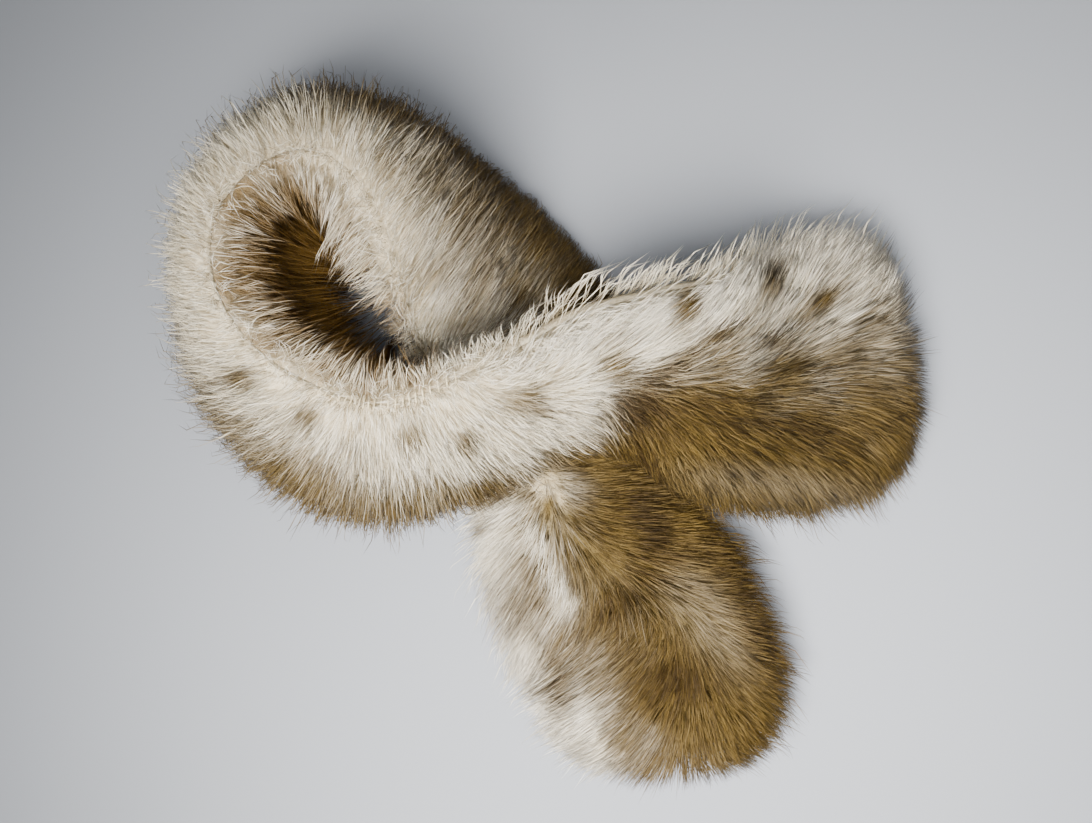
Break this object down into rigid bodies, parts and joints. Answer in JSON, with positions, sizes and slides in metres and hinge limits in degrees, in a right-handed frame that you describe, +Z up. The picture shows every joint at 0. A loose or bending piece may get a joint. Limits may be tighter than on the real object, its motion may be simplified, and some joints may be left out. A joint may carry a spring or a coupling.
{
  "type": "fur collar wrap",
  "caption": "Fur collar wrap laid flat with one tail over the other, its neck loop standing on edge; a long-pile strip with a white belly edge and a tan back edge.",
  "frame": {"origin": "centre of the bounding box in plan, on the surface that the wrap lies on", "axes": "+Z up from the surface; +X from the neck loop to the end of the upper tail, to the right in the picture; +Y away from the lower tail's end, up in the picture"},
  "size_m": [0.3574, 0.3346, 0.1415],
  "materials": {
    "pile_outer": "long soft pile, white belly fur with tan spots running into golden tan back fur",
    "pile_inner": "long soft pile, white belly fur running into golden tan back fur"
  },
  "bodies": {
    "root": {"over_tail_outer": "pile_outer", "over_tail_inner": "pile_inner", "neck_loop_outer": "pile_outer", "neck_loop_inner": "pile_inner", "under_tail_outer": "pile_outer", "under_tail_inner": "pile_inner"}
  },
  "joints": []
}
